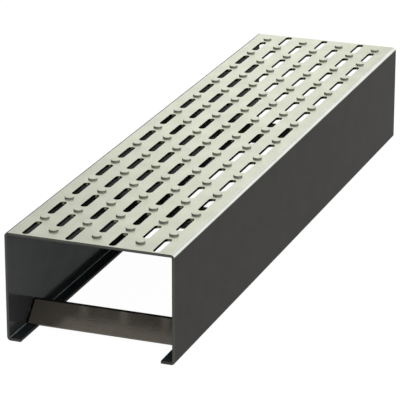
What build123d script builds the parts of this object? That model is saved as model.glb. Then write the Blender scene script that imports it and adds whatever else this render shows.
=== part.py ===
from build123d import *
import os
from math import atan2, degrees, floor, sqrt

# A drain grate folded from one steel sheet into an upside-down channel. The top is punched with
# long slots and pressed up into round anti-slip pips, the side walls stand on two feet folded
# inwards, and three folded angles brace the walls apart just above the feet.
# Millimetres. X runs across, Y along the channel with its front end at -Y, Z up from the surface
# that the feet stand on. The origin is the middle of the footprint.

# Folded channel
length = 500.0
width = 120.0           # over the walls
height = 77.0           # feet to tread, without the pips
sheet = 2.0
bend_inside = 0.7
foot_width = 10.0       # from the wall's outside to the foot's edge

# Slots, lengthwise and rounded at both ends
slot_length = 25.0
slot_width = 5.0
bridge = 16.0           # metal between two slots of a row, where a pip stands
rib = 10.4              # metal between the slots of two rows
end_land = 1.5          # least metal between a slot and the channel's end
side_land = 8.0         # least flat metal between a slot and a fold

# Pips, pressed up from below
pip_base = 6.8          # across the corners at the tread
pip_top = 6.5           # across the corners of the flat top
pip_height = 1.3
pip_sides = 8           # a few flat sides stand for each small round pressing
dent_base = 4.4         # the punch's dent underneath, across the corners of its mouth
dent_top = 3.4          # across the corners of its flat end
dent_sides = 6

# Braces, each an angle laid with its ridge up
brace_leg = 20.0
brace_sheet = 2.0
brace_bend_inside = 0.7
brace_end_gap = 0.3     # between a brace's end and the round inside a channel fold
front_setback = 39.0    # front end to the first ridge
rear_setback = 48.0     # last ridge to the rear end
brace_names = ["front_brace", "middle_brace", "rear_brace"]

# Worked out from the sizes above
bend_outside = bend_inside + sheet
inner_width = width - 2 * sheet
row_pitch = slot_width + rib
column_pitch = (slot_length + bridge) / 2
rows_each_side = floor((width / 2 - bend_outside - side_land - slot_width / 2) / row_pitch)
column_count = 1 + floor((length - slot_length - 2 * end_land) / column_pitch)
first_column = -column_pitch * (column_count - 1) / 2
cut_margin = 1.0        # how far a cutting body stands out of the sheet


def pattern_places():
    """Centres of the slots and of the pips: they take turns along each row and from row to row."""
    slots = []
    pips = []
    for row in range(-rows_each_side, rows_each_side + 1):
        for column in range(column_count):
            place = (row * row_pitch, first_column + column * column_pitch)
            if (row + rows_each_side + column) % 2 == 0:
                slots.append(place)
            else:
                pips.append(place)
    return slots, pips


def folded_sheet():
    """The channel before punching: a rounded tube section, open between the feet."""
    outside = RectangleRounded(width, height, bend_outside)
    inside = RectangleRounded(inner_width, height - 2 * sheet, bend_inside)
    mouth = Rectangle(width - 2 * foot_width, 2 * (sheet + cut_margin))
    section = outside - inside - Pos(0, -height / 2) * mouth
    return extrude(Plane.XZ * Pos(0, height / 2) * section, amount=length / 2, both=True)


def slot_cutter(places):
    """Bodies of all the slots, standing out of the tread on both sides."""
    start = Plane.XY.offset(height - sheet - cut_margin)
    outline = Rot(0, 0, 90) * SlotOverall(slot_length, slot_width)
    outlines = Sketch() + [Pos(*place) * outline for place in places]
    return extrude(start * outlines, amount=sheet + 2 * cut_margin)


def pressing(base, top, sides, place, z):
    """A low frustum with its base at height z: a pip's body, or the dent of the punch below it."""
    lean = degrees(atan2((base - top) / 2, pip_height))
    outline = RegularPolygon(base / 2, sides)
    return extrude(Pos(place[0], place[1], z) * outline, amount=pip_height, taper=lean)


def grate_channel():
    """The whole folded, slotted and pressed sheet."""
    slots, pips = pattern_places()
    channel = folded_sheet() - slot_cutter(slots)
    channel += [pressing(pip_base, pip_top, pip_sides, place, height) for place in pips]
    dent_z = height - sheet
    return channel - [pressing(dent_base, dent_top, dent_sides, place, dent_z) for place in pips]


def brace(ridge_y):
    """An angle with its ridge up, its legs' edges resting on the channel's feet."""
    leg = brace_leg
    bend_out = brace_bend_inside + brace_sheet
    low = (Align.MIN, Align.MIN)
    angle = Rectangle(leg, leg, align=low)
    angle -= Pos(brace_sheet, brace_sheet) * Rectangle(leg, leg, align=low)
    outer_corner = angle.vertices().sort_by_distance((0, 0))[0]
    angle = fillet(outer_corner, bend_out)
    inner_corner = angle.vertices().sort_by_distance((brace_sheet, brace_sheet))[0]
    angle = fillet(inner_corner, brace_bend_inside)
    ridge_z = sheet + (leg + brace_sheet) / sqrt(2)
    reach = inner_width / 2 - bend_inside - brace_end_gap
    section = Plane.YZ * Pos(ridge_y, ridge_z) * Rot(0, 0, -135) * angle
    return extrude(section, amount=reach, both=True)


def brace_ridges():
    """Y of each brace's ridge, evenly spaced between the two setbacks."""
    first = -length / 2 + front_setback
    last = length / 2 - rear_setback
    gaps = len(brace_names) - 1
    return [first + (last - first) * index / gaps for index in range(gaps + 1)]


def build():
    """Every separate piece by its name."""
    pieces = {"grate_channel": grate_channel()}
    for name, ridge_y in zip(brace_names, brace_ridges()):
        pieces[name] = brace(ridge_y)
    return pieces


os.makedirs("parts", exist_ok=True)
for name, piece in build().items():
    export_step(piece, f"parts/{name}.step")
    print(name, "volume", round(piece.volume, 1), "solids", len(piece.solids()))
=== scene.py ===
from math import cos, pi, radians, sin

import bmesh
import bpy
from mathutils import Matrix, Vector


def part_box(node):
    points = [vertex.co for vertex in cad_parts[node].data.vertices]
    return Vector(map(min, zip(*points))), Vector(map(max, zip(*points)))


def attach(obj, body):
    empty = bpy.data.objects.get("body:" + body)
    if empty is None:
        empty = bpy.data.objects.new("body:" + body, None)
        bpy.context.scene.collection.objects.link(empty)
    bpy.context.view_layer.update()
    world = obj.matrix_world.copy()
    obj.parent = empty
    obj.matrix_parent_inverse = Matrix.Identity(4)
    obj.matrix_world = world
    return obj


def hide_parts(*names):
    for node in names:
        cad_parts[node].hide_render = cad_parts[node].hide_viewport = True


# A slotted drain grate: one punched and folded steel sheet, and three folded braces between its
# walls. Metres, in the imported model's frame: X across, Y along, Z up from the feet's underside.

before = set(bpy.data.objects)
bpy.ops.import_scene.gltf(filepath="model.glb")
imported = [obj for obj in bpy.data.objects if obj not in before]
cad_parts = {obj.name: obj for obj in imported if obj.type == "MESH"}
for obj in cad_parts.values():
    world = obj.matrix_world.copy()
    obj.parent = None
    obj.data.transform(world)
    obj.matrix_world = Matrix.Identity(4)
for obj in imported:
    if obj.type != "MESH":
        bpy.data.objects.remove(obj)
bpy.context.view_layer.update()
MM = 0.001
NEAR = 0.01 * MM        # how closely a place is matched when faces and edges are picked
PARALLEL = 0.99         # least share of a direction along an axis that counts as parallel to it
FACING = 0.5            # least share of a normal along an axis that counts as facing that way

# The folded sheet
channel_low, channel_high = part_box("grate_channel")
sheet = 2.0 * MM
bend_outside = 2.7 * MM
bend_steps = 8
foot_width = 10.0 * MM
pip_height = 1.3 * MM
width = channel_high.x - channel_low.x
length = channel_high.y - channel_low.y
height = channel_high.z - pip_height

# Slots and pips take turns along each row, and from row to row
slot_length = 25.0 * MM
slot_width = 5.0 * MM
slot_end_steps = 12
row_pitch = 15.4 * MM
column_pitch = 20.5 * MM
rows_each_side = 3
column_count = 24
first_column = -column_pitch * (column_count - 1) / 2

# One pip, pressed up from below
pip_base = 6.5 * MM
pip_top = 6.4 * MM
pip_flare = 0.12 * MM   # the sheet's small round at the foot of a pip
pip_flare_steps = 3
pip_crown = 0.5 * MM    # the round along its top rim
pip_crown_steps = 5
pip_sides = 24          # few, because there are 84 pips, but round at the camera's distance
pip_sunk = 0.02 * MM    # the flare starts this far under the tread, so that it meets it cleanly
dent_mouth = 4.4 * MM
dent_end = 3.4 * MM

# Cut and folded edges
cut_margin = 1.0 * MM
edge_round = 0.14 * MM
edge_steps = 2
sharp_angle = radians(50)   # an edge that turns by more than this gets the small round
smooth_angle = radians(40)  # an edge that turns by less than this is shaded round

# Braces
brace_nodes = ("front_brace", "middle_brace", "rear_brace")
brace_leg = 20.0 * MM
brace_bend_steps = 10

# Camera, fitted to the straight edges and the slots' corners in the photo
camera_place = (0.6013, -1.6401, 0.6566)
camera_tilt = 19.962    # degrees down from level
camera_turn = 20.65     # degrees left of straight along the grate
camera_lens = 224.92    # on a sensor 36 wide
camera_sensor = 36.0
camera_reach = 100.0

# Floor
floor_size = 60.0
floor_drop = 0.1 * MM   # below the feet, so that no two faces lie in one plane
floor_tone = 0.8        # for the light that it throws back on the object
seen_tone = 0.08        # to the eye and in reflections, where it glows as well
seen_glow = 0.98

# Light: a soft sky, brightest behind on the right, and three soft panels behind the grate
sky_bright = 0.62
sky_dim = 0.48
sky_turn = radians(50)  # from straight behind towards the right
sky_lift = 0.8          # how much height counts beside that direction
sky_span = (0.1, 0.6)   # from where the sky is dim to where it is bright
panel_y = 1.5           # behind the grate's middle
panel_top = 0.95        # they reach up to here from the ground
panels = {"far_left_panel": {"glow": 0.5, "from_x": -1.25, "to_x": -0.72},
          "left_panel": {"glow": 1.1, "from_x": -0.72, "to_x": -0.29},
          "right_panel": {"glow": 0.55, "from_x": -0.1, "to_x": 1.9}}


# Modelling

def take(piece):
    """Selects a piece alone and makes it the active one."""
    bpy.ops.object.select_all(action="DESELECT")
    piece.select_set(True)
    bpy.context.view_layer.objects.active = piece


def edit():
    bpy.ops.object.mode_set(mode="EDIT")


def close():
    bpy.ops.object.mode_set(mode="OBJECT")


def block(name, size, centre):
    """A box at its size and place."""
    bpy.ops.object.select_all(action="DESELECT")
    bpy.ops.mesh.primitive_cube_add(size=1, location=centre, scale=size)
    return settled(name)


def disc(name, radius, depth, centre):
    """An upright cylinder at its size and place."""
    bpy.ops.object.select_all(action="DESELECT")
    bpy.ops.mesh.primitive_cylinder_add(vertices=pip_sides, radius=radius, depth=depth,
                                        location=centre)
    return settled(name)


def settled(name):
    """Names the new primitive and moves its place and size into its mesh."""
    piece = bpy.context.object
    piece.name = name
    piece.data.name = name
    bpy.ops.object.transform_apply(location=True, rotation=True, scale=True)
    return piece


def middle(element):
    """The middle of an edge's or a face's corners."""
    return sum((vertex.co for vertex in element.verts), Vector()) / len(element.verts)


def pick(piece, kind, wanted):
    """Opens the piece and selects just the edges or faces that wanted(element) accepts."""
    edit()
    bpy.ops.mesh.select_mode(type=kind)
    bpy.ops.mesh.select_all(action="DESELECT")
    shape = bmesh.from_edit_mesh(piece.data)
    for element in shape.edges if kind == "EDGE" else shape.faces:
        if wanted(element):
            element.select_set(True)
    bmesh.update_edit_mesh(piece.data)


def runs_along(edge, axis):
    """True for an edge that is parallel to the axis, 0 for X, 1 for Y or 2 for Z."""
    run = edge.verts[1].co - edge.verts[0].co
    return abs(run[axis]) > PARALLEL * run.length


def faces_up(face):
    return face.normal.z > FACING


def runs_out(edge):
    """True for an edge that points away from the Z axis."""
    ends = [vertex.co.xy.length for vertex in edge.verts]
    return abs(ends[0] - ends[1]) > NEAR


def finish_with(piece, kind, **settings):
    """Adds a modifier with these settings and applies it."""
    take(piece)
    modifier = piece.modifiers.new(kind.lower(), kind)
    for name, value in settings.items():
        setattr(modifier, name, value)
    bpy.ops.object.modifier_apply(modifier=modifier.name)


def stamped(master, places):
    """A copy of the master at each place, all joined. The master goes."""
    copies = []
    for place in places:
        copy = master.copy()
        copy.data = master.data.copy()
        copy.data.transform(Matrix.Translation(place))
        bpy.context.scene.collection.objects.link(copy)
        copies.append(copy)
    bpy.data.objects.remove(master)
    bpy.ops.object.select_all(action="DESELECT")
    for copy in copies:
        copy.select_set(True)
    bpy.context.view_layer.objects.active = copies[0]
    bpy.ops.object.join()
    return copies[0]


def combine(piece, operation, tool):
    """Cuts the tool out of the piece, or joins it on, and removes the tool."""
    finish_with(piece, "BOOLEAN", operation=operation, object=tool, solver="EXACT")
    bpy.data.objects.remove(tool)


def dressed(piece):
    """Softens the cut edges and shades flats flat and rounds round."""
    take(piece)
    edit()
    bpy.ops.mesh.select_all(action="SELECT")
    bpy.ops.mesh.remove_doubles(threshold=NEAR)
    close()
    finish_with(piece, "BEVEL", width=edge_round, segments=edge_steps, limit_method="ANGLE",
                angle_limit=sharp_angle, use_clamp_overlap=False, miter_outer="MITER_ARC")
    bpy.ops.object.shade_smooth_by_angle(angle=smooth_angle)
    finish_with(piece, "WEIGHTED_NORMAL", mode="FACE_AREA", keep_sharp=True)


def pattern_places():
    """Centres of the slots and of the pips."""
    slots = []
    pips = []
    for row in range(-rows_each_side, rows_each_side + 1):
        for column in range(column_count):
            place = Vector((row * row_pitch, first_column + column * column_pitch, 0))
            if (row + rows_each_side + column) % 2 == 0:
                slots.append(place)
            else:
                pips.append(place)
    return slots, pips


def folded_sheet():
    """The channel before punching: a box with no ends or bottom, feet drawn in, folds rounded."""
    piece = block("grate_body", (width, length, height), (0, 0, height / 2))
    pick(piece, "FACE", lambda face: abs(face.normal.y) > FACING or face.normal.z < -FACING)
    bpy.ops.mesh.delete(type="FACE")
    for side in (-1, 1):
        pick(piece, "EDGE", lambda edge: runs_along(edge, 1) and middle(edge).z < NEAR
             and side * middle(edge).x > width / 2 - NEAR)
        inwards = (-side * foot_width, 0, 0)
        bpy.ops.mesh.extrude_region_move(TRANSFORM_OT_translate={"value": inwards})
    pick(piece, "EDGE", lambda edge: runs_along(edge, 1) and abs(middle(edge).x) > width / 2 - NEAR)
    bpy.ops.mesh.bevel(offset=bend_outside, segments=bend_steps, affect="EDGES")
    close()
    finish_with(piece, "SOLIDIFY", thickness=sheet, offset=-1, use_even_offset=True)
    return piece


def ruled_tread(piece):
    """Divides the tread between its rows and across the slots' middles, so that cuts stay local."""
    def in_tread(face):
        return abs(face.normal.z) > PARALLEL and middle(face).z > height / 2

    for row in range(-rows_each_side, rows_each_side + 2):
        pick(piece, "FACE", in_tread)
        bpy.ops.mesh.bisect(plane_co=((row - 0.5) * row_pitch, 0, 0), plane_no=(1, 0, 0))
    for column in range(column_count):
        pick(piece, "FACE", in_tread)
        place = (0, first_column + column * column_pitch, 0)
        bpy.ops.mesh.bisect(plane_co=place, plane_no=(0, 1, 0))
    close()


def slot_tool():
    """One slot's body, standing out of the sheet on both sides."""
    size = (slot_width, slot_length, sheet + 2 * cut_margin)
    tool = block("slot_tool", size, (0, 0, height - sheet / 2))
    pick(tool, "EDGE", lambda edge: runs_along(edge, 2))
    bpy.ops.mesh.bevel(offset=slot_width / 2, segments=slot_end_steps, affect="EDGES")
    bpy.ops.mesh.select_all(action="SELECT")
    bpy.ops.mesh.remove_doubles(threshold=NEAR)
    close()
    return tool


def pip_tool():
    """One pip on a disc that is sunk in the sheet: drawn up, narrowed and rounded."""
    foot = height - pip_sunk
    depth = sheet / 2
    tool = disc("pip_tool", pip_base / 2 + pip_flare, depth, (0, 0, foot - depth / 2))
    pick(tool, "FACE", faces_up)
    bpy.ops.mesh.inset(thickness=pip_flare)
    rise = pip_height + pip_sunk
    bpy.ops.mesh.extrude_region_move(TRANSFORM_OT_translate={"value": (0, 0, rise)})
    share = pip_top / pip_base
    bpy.ops.transform.resize(value=(share, share, 1), center_override=(0, 0, foot + rise))
    pick(tool, "EDGE", lambda edge: middle(edge).z > height + pip_height - NEAR)
    bpy.ops.mesh.bevel(offset=pip_crown, segments=pip_crown_steps, affect="EDGES")
    pick(tool, "EDGE", lambda edge: abs(middle(edge).z - foot) < NEAR and not runs_out(edge)
         and middle(edge).xy.length < pip_base / 2 + NEAR)
    bpy.ops.mesh.bevel(offset=pip_flare, segments=pip_flare_steps, affect="EDGES")
    close()
    return tool


def dent_tool():
    """The hollow that the punch leaves under a pip."""
    start = height - sheet - cut_margin
    depth = cut_margin + pip_height
    tool = disc("dent_tool", dent_mouth / 2, depth, (0, 0, start + depth / 2))
    pick(tool, "FACE", faces_up)
    share = dent_end / dent_mouth
    bpy.ops.transform.resize(value=(share, share, 1), center_override=(0, 0, start + depth))
    close()
    return tool


def grate_body():
    """The whole punched, pressed and folded sheet."""
    piece = folded_sheet()
    ruled_tread(piece)
    slots, pips = pattern_places()
    combine(piece, "DIFFERENCE", stamped(slot_tool(), slots))
    combine(piece, "UNION", stamped(pip_tool(), pips))
    combine(piece, "DIFFERENCE", stamped(dent_tool(), pips))
    dressed(piece)
    return piece


def brace_angle(node):
    """A folded angle, ridge up, where the node lies."""
    low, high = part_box(node)
    size = (high.x - low.x, brace_leg, brace_leg)
    piece = block(node + "_angle", size, (0, 0, 0))
    pick(piece, "FACE", lambda face: face.normal.y > -FACING and not faces_up(face))
    bpy.ops.mesh.delete(type="FACE")
    pick(piece, "EDGE", lambda edge: len(edge.link_faces) == 2)
    bpy.ops.mesh.bevel(offset=bend_outside, segments=brace_bend_steps, affect="EDGES")
    close()
    finish_with(piece, "SOLIDIFY", thickness=sheet, offset=-1, use_even_offset=True)
    piece.data.transform(Matrix.Rotation(radians(-45), 4, "X"))
    heights = [vertex.co.z for vertex in piece.data.vertices]
    own_middle = (min(heights) + max(heights)) / 2
    place = (low + high) / 2 - Vector((0, 0, own_middle))
    piece.data.transform(Matrix.Translation(place))
    dressed(piece)
    return piece


# Materials

class Wire:
    """The output of a shader node. Arithmetic on it adds Math nodes."""

    def __init__(self, tree, socket):
        self.tree = tree
        self.socket = socket

    def join(self, operation, first, second):
        node = self.tree.nodes.new("ShaderNodeMath")
        node.operation = operation
        for place, value in zip(node.inputs, (first, second)):
            if isinstance(value, Wire):
                self.tree.links.new(value.socket, place)
            else:
                place.default_value = value
        return Wire(self.tree, node.outputs[0])

    def __add__(self, other):
        return self.join("ADD", self, other)

    def __radd__(self, other):
        return self.join("ADD", other, self)

    def __sub__(self, other):
        return self.join("SUBTRACT", self, other)

    def __rsub__(self, other):
        return self.join("SUBTRACT", other, self)

    def __mul__(self, other):
        return self.join("MULTIPLY", self, other)

    def __rmul__(self, other):
        return self.join("MULTIPLY", other, self)

    def __abs__(self):
        return self.join("ABSOLUTE", self, 0.0)


class Finish:
    """A material or world and the nodes that are added to it."""

    def __init__(self, owner):
        self.owner = owner
        owner.use_nodes = True
        self.tree = owner.node_tree
        self.tree.nodes.clear()

    def node(self, kind, settings=None, sockets=None, output=0):
        """Adds a node, sets it, fills its sockets with values or wires, and gives one output."""
        made = self.tree.nodes.new(kind)
        for name, value in (settings or {}).items():
            setattr(made, name, value)
        for name, value in (sockets or {}).items():
            if isinstance(value, Wire):
                self.tree.links.new(value.socket, made.inputs[name])
            else:
                made.inputs[name].default_value = value
        return Wire(self.tree, made.outputs[output]) if len(made.outputs) else made

    def parts(self, vector):
        """The X, Y and Z of a vector."""
        split = self.node("ShaderNodeSeparateXYZ", {}, {0: vector}).socket.node
        return [Wire(self.tree, output) for output in split.outputs]

    def place(self, stretch):
        """Object coordinates, stretched."""
        coordinates = self.node("ShaderNodeTexCoord", output="Object")
        return self.node("ShaderNodeMapping", {}, {"Vector": coordinates, "Scale": stretch})

    def noise(self, scale, stretch, detail=2.0):
        """Cloudy values about 0.5."""
        return self.node("ShaderNodeTexNoise", {}, {"Vector": self.place(stretch), "Scale": scale,
                                                   "Detail": detail})

    def ramp(self, value, start, end):
        """0 up to start and 1 from end on, smooth between. End may be the lower of the two."""
        return self.node("ShaderNodeMapRange", {"interpolation_type": "SMOOTHSTEP"},
                         {"Value": value, "From Min": start, "From Max": end})

    def blend(self, factor, first, second):
        """A colour between two."""
        return self.node("ShaderNodeMix", {"data_type": "RGBA"}, {0: factor, 6: first, 7: second},
                         output=2)

    def end(self, shader, kind="ShaderNodeOutputMaterial"):
        """Puts the shader on the material or world, and gives that back."""
        self.node(kind, {}, {"Surface": shader})
        return self.owner


def from_srgb(red, green, blue):
    """A shader colour from the usual 0 to 255 values."""
    shares = [value / 255 for value in (red, green, blue)]
    line = [s / 12.92 if s <= 0.04045 else ((s + 0.055) / 1.055) ** 2.4 for s in shares]
    return (*line, 1.0)


def grey(tone):
    return (tone, tone, tone, 1.0)


# Tones of the folded sheet: its own colour on the tread, and painted light and shade elsewhere
tread_steel = from_srgb(226, 228, 211)
# painted highlight on the folds beside the tread
fold_highlight = from_srgb(247, 251, 243)
# painted shade on the pips' sides, darker where they face left
pip_shade_left = from_srgb(92, 94, 86)
pip_shade_right = from_srgb(152, 154, 142)
# painted shade on the walls and the feet's tops, darker outside than inside
outer_wall_shade = from_srgb(71, 70, 67)
inner_wall_shade = from_srgb(90, 92, 92)
foot_top_shade = from_srgb(62, 71, 72)
# painted highlight in the crease of each foot
crease_highlight = from_srgb(190, 201, 208)
# painted shade on the slots' cut walls, near black on their long sides and at the braces' ends
near_black_shade = from_srgb(14, 14, 7)
slot_end_shade = from_srgb(112, 110, 88)
# painted shade on the sheet's cut ends and the feet's inner edges
cut_edge_shade = from_srgb(79, 80, 75)

# Changes of tone by the distance from the middle: where each one starts and where it is complete
flat_half = width / 2 - bend_outside
fold_span = (flat_half - 0.4 * MM, flat_half + 0.4 * MM)
left_fold_span = (-flat_half, -flat_half - 0.5 * MM)
outer_span = (width / 2 - sheet, width / 2 - sheet / 2)
crease_span = (width / 2 - 2.6 * MM, width / 2 - 2.4 * MM)
foot_edge_span = (width / 2 - foot_width + 0.4 * MM, width / 2 - foot_width + 0.1 * MM)
end_span = (length / 2 - 0.3 * MM, length / 2 - 0.1 * MM)

# Changes of tone by height
pip_span = (height + 0.02 * MM, height + 0.1 * MM)
left_line_span = (height - 1.2 * MM, height - 0.8 * MM)
underside_span = (height - sheet / 2, height - sheet)
tread_span = (height - 1.5 * sheet, height - sheet)
foot_top_span = (4 * sheet, 2 * sheet)
foot_edge_top = (2 * sheet, 1.5 * sheet)
crease_top = (2.65 * MM, 2.3 * MM)
crease_bottom = (1.2 * MM, 1.6 * MM)

# Changes of tone by how far the surface's normal points up, across, or to the right
upward_span = (0.2, 0.6)
# below that, the left fold takes the walls' painted shade, a painted dark line beside the tread
left_fold_shift = 0.8   # how much further up the left fold has to face to count as upward
upright_span = (0.8, 0.5)
slot_side_span = (0.4, 0.9)
# over which the pips' painted shade turns from its left tone to its right tone
pip_turn_span = (-0.8, 0.8)

# Roughness of the folded sheet, and how much less rough and less metallic its inside is
sheet_rough = 0.35
inside_rough_loss = 0.2
inside_metal_loss = 0.7

# Braces
brace_face = from_srgb(135, 129, 119)
# painted shade along the braces' ridge
brace_ridge_shade = from_srgb(56, 55, 52)
brace_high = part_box(brace_nodes[0])[1]
brace_fold_span = (brace_high.z - 0.7 * MM, brace_high.z - 0.35 * MM)
brace_end_span = (brace_high.x - 1.3 * MM, brace_high.x - 0.9 * MM)
brace_metal = 0.5
brace_rough = 0.07

# Rolling grain: how much finer its lines are across X, Y and Z, and how deep
sheet_grain = (24, 1, 24)
sheet_grain_depth = 0.01 * MM
brace_grain = (1, 24, 24)
brace_grain_depth = 0.12 * MM
grain_scale = 90        # lines a metre before they are made finer
grain_detail = 3.0
grain_relief = 0.3      # share of the depth that shows
grain_rough = 0.1       # how much the roughness changes over the grain

# Clouds and spots
cloud_scale = 14        # clouds a metre
cloud_stretch = (1, 0.5, 1)
spot_scale = 80         # spots a metre
spot_stretch = (1, 0.6, 1)
spot_detail = 1.0

# Share of the colour that is left in the darkest places, and what each pattern can add to it
least_tint = 0.82
grain_tint = 0.08
cloud_tint = 0.04
spot_tint = 0.24
edge_mirror = grey(0.5)  # share of the metal's mirroring that is left near a grazing angle


def satin(finish, colour, metallic, rough, stretch, depth):
    """Ends the material as satin sheet of this colour, with grain along it, spots and clouds."""
    grain = finish.noise(grain_scale, stretch, grain_detail)
    cloud = finish.noise(cloud_scale, cloud_stretch)
    spots = finish.noise(spot_scale, spot_stretch, spot_detail)
    tint = least_tint + grain_tint * grain + cloud_tint * cloud + spot_tint * spots
    shade = finish.node("ShaderNodeCombineXYZ", {}, {0: tint, 1: tint, 2: tint})
    colour = finish.node("ShaderNodeMix", {"data_type": "RGBA", "blend_type": "MULTIPLY"},
                         {0: 1.0, 6: colour, 7: shade}, output=2)
    bump = finish.node("ShaderNodeBump", {}, {"Height": grain, "Distance": depth,
                                              "Strength": grain_relief})
    shader = finish.node("ShaderNodeBsdfPrincipled", {}, {
        "Base Color": colour, "Metallic": metallic, "Normal": bump,
        "Roughness": rough + grain_rough * (grain - 0.5),
        "Specular IOR Level": 0.0, "Specular Tint": edge_mirror})
    return finish.end(shader)


def wall_colour(finish, from_middle, z, upward, outer):
    """Walls and feet in painted shade, darker outside than inside, with a painted highlight along
    the crease of each foot.
    """
    # painted shade on the walls and the feet's tops, darker outside than inside
    colour = finish.blend(outer, inner_wall_shade, outer_wall_shade)
    colour = finish.blend(upward * finish.ramp(z, *foot_top_span), colour, foot_top_shade)
    # painted highlight along the crease of each foot
    crease = finish.ramp(from_middle, *crease_span) * (1 - outer)
    crease = crease * finish.ramp(z, *crease_bottom) * finish.ramp(z, *crease_top)
    return finish.blend(crease, colour, crease_highlight)


def folded_steel():
    """Bright on the tread. Painted shade darkens walls, feet, cut edges and pips' sides, darkest at
    the slots' long sides; painted highlights light the folds and the feet's creases.
    """
    finish = Finish(bpy.data.materials.new("folded_steel"))
    x, y, z = finish.parts(finish.node("ShaderNodeTexCoord", output="Object"))
    across, _, up = finish.parts(finish.node("ShaderNodeNewGeometry", output="Normal"))
    from_middle = abs(x)
    in_fold = finish.ramp(from_middle, *fold_span)
    left_fold = finish.ramp(x, *left_fold_span)
    outer = finish.ramp(from_middle, *outer_span)
    # the left fold counts as upward only higher up; below, it takes the walls' painted shade
    upward = finish.ramp(up - left_fold_shift * left_fold, *upward_span)
    high = finish.ramp(z, *tread_span)

    colour = wall_colour(finish, from_middle, z, upward, outer)
    # painted shade on the slots' cut walls, near black on their long sides
    slot_cut_shade = finish.blend(finish.ramp(abs(across), *slot_side_span), slot_end_shade, near_black_shade)
    in_slot = high * (1 - in_fold) * finish.ramp(abs(up), *upright_span)
    colour = finish.blend(in_slot, colour, slot_cut_shade)
    # painted shade on the pips' sides, darker where they face left
    pip_shade = finish.blend(finish.ramp(across, *pip_turn_span), pip_shade_left, pip_shade_right)
    colour = finish.blend(finish.ramp(z, *pip_span), colour, pip_shade)
    # painted shade on the sheet's cut ends and the feet's inner edges
    end = finish.ramp(abs(y), *end_span)
    foot_edge = finish.ramp(from_middle, *foot_edge_span) * finish.ramp(z, *foot_edge_top)
    colour = finish.blend(end + foot_edge, colour, cut_edge_shade)
    # painted highlight on the folds beside the tread
    top = finish.blend(in_fold, tread_steel, fold_highlight)
    colour = finish.blend(upward * high, colour, top)

    # The lower part of the left fold takes the walls' painted shade and less metal, a painted dark
    # line beside the tread
    left_line = left_fold * (1 - upward) * finish.ramp(z, *left_line_span)
    inside = (1 - outer) * finish.ramp(z, *underside_span)
    metallic = 1 - inside_metal_loss * inside - left_line
    rough = sheet_rough - inside_rough_loss * inside
    return satin(finish, colour, metallic, rough, sheet_grain, sheet_grain_depth)


def brace_steel():
    """The braces' own sheet, a little warmer and glossier, with painted shade along its ridge and
    at its ends.
    """
    finish = Finish(bpy.data.materials.new("brace_steel"))
    x, _, z = finish.parts(finish.node("ShaderNodeTexCoord", output="Object"))
    # painted shade along the ridge
    colour = finish.blend(finish.ramp(z, *brace_fold_span), brace_face, brace_ridge_shade)
    # painted shade in a thin line at each end, beside the walls
    colour = finish.blend(finish.ramp(abs(x), *brace_end_span), colour, near_black_shade)
    return satin(finish, colour, brace_metal, brace_rough, brace_grain, brace_grain_depth)


def pale_floor():
    """White to the eye and in reflections, with the object's shadow kept."""
    finish = Finish(bpy.data.materials.new("pale_floor"))
    seen = sum(finish.node("ShaderNodeLightPath", output=ray)
               for ray in ("Is Camera Ray", "Is Glossy Ray", "Is Transmission Ray"))
    plain = finish.node("ShaderNodeBsdfDiffuse", {}, {"Color": grey(floor_tone)})
    shaded = finish.node("ShaderNodeBsdfDiffuse", {}, {"Color": grey(seen_tone)})
    glow = finish.node("ShaderNodeEmission", {}, {"Color": grey(1.0), "Strength": seen_glow})
    bright = finish.node("ShaderNodeAddShader", {}, {0: shaded, 1: glow})
    return finish.end(finish.node("ShaderNodeMixShader", {}, {0: seen, 1: plain, 2: bright}))


# Studio

def panel(name, glow, from_x, to_x):
    """An upright soft lamp behind the grate, facing it. Its glow is what it adds to the sky's."""
    lamp = bpy.data.lights.new(name, "AREA")
    lamp.shape = "RECTANGLE"
    lamp.size = to_x - from_x
    lamp.size_y = panel_top
    lamp.energy = glow * pi * lamp.size * lamp.size_y
    holder = bpy.data.objects.new(name, lamp)
    holder.location = ((from_x + to_x) / 2, panel_y, panel_top / 2)
    holder.rotation_euler = (radians(-90), 0, 0)
    bpy.context.scene.collection.objects.link(holder)


def lay_floor():
    """A broad pale floor just under the feet."""
    bpy.ops.object.select_all(action="DESELECT")
    bpy.ops.mesh.primitive_plane_add(size=floor_size, location=(0, 0, -floor_drop))
    floor = settled("floor")
    floor.data.materials.append(pale_floor())


def open_sky():
    """A soft white sky that is brighter high up, behind and on the right."""
    world = bpy.data.worlds.new("studio")
    bpy.context.scene.world = world
    finish = Finish(world)
    x, y, z = finish.parts(finish.node("ShaderNodeTexCoord", output="Generated"))
    toward = sin(sky_turn) * x + cos(sky_turn) * y + sky_lift * z
    dim, bright = (finish.node("ShaderNodeBackground", {},
                               {"Color": grey(1.0), "Strength": strength})
                   for strength in (sky_dim, sky_bright))
    sky = finish.node("ShaderNodeMixShader", {},
                      {0: finish.ramp(toward, *sky_span), 1: dim, 2: bright})
    finish.end(sky, "ShaderNodeOutputWorld")


def aim_camera():
    """The camera, where the photo was taken from."""
    camera = bpy.data.objects.new("camera", bpy.data.cameras.new("camera"))
    camera.data.sensor_width = camera_sensor
    camera.data.lens = camera_lens
    camera.data.clip_end = camera_reach
    camera.location = camera_place
    camera.rotation_euler = (radians(90 - camera_tilt), 0, radians(camera_turn))
    bpy.context.scene.collection.objects.link(camera)
    bpy.context.scene.camera = camera
    bpy.context.scene.view_settings.view_transform = "Standard"


# The grate and its braces, in the places of the CAD nodes

body = grate_body()
body.data.materials.append(folded_steel())
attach(body, "root")
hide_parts("grate_channel")

brace_finish = brace_steel()
for brace_node in brace_nodes:
    angle = brace_angle(brace_node)
    angle.data.materials.append(brace_finish)
    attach(angle, "root")
    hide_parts(brace_node)

# Floor, light and camera

lay_floor()
open_sky()
for panel_name, panel_settings in panels.items():
    panel(panel_name, **panel_settings)
aim_camera()
